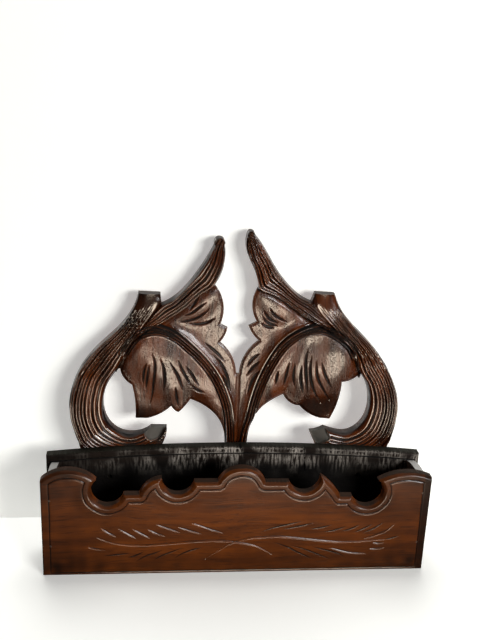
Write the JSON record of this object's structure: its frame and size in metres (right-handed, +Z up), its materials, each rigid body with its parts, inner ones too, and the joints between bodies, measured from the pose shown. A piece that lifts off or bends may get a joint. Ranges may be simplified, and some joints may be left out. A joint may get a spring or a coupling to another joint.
{
  "type": "wall letter holder",
  "caption": "Carved wooden wall letter holder: an open trough of thin boards with scalloped front and openwork leaf brackets standing behind it.",
  "frame": {"origin": "middle of the base, on the surface the holder stands on", "axes": "+X to the right seen from the front, -Y towards the viewer, +Y towards the wall, +Z up"},
  "size_m": [0.32, 0.06, 0.282],
  "materials": {
    "front_wood": "old varnish over warm brown hardwood, satin",
    "back_wood": "dark stained hardwood, worn varnish",
    "side_wood": "dark stained hardwood, worn varnish",
    "inner_wood": "bare, darkened with age",
    "bracket_wood": "carved, glossy dark red-brown varnish",
    "brad_iron": "dull, browned",
    "screw_steel": "dull"
  },
  "bodies": {
    "root": {"front_board": "front_wood", "back_board": "back_wood", "left_side": "side_wood", "right_side": "side_wood", "bottom_board": "inner_wood", "left_bracket": "bracket_wood", "right_bracket": "bracket_wood", "front_brads": "brad_iron", "back_brads": "brad_iron", "bottom_brads": "brad_iron", "bracket_screws": "screw_steel"}
  },
  "joints": []
}
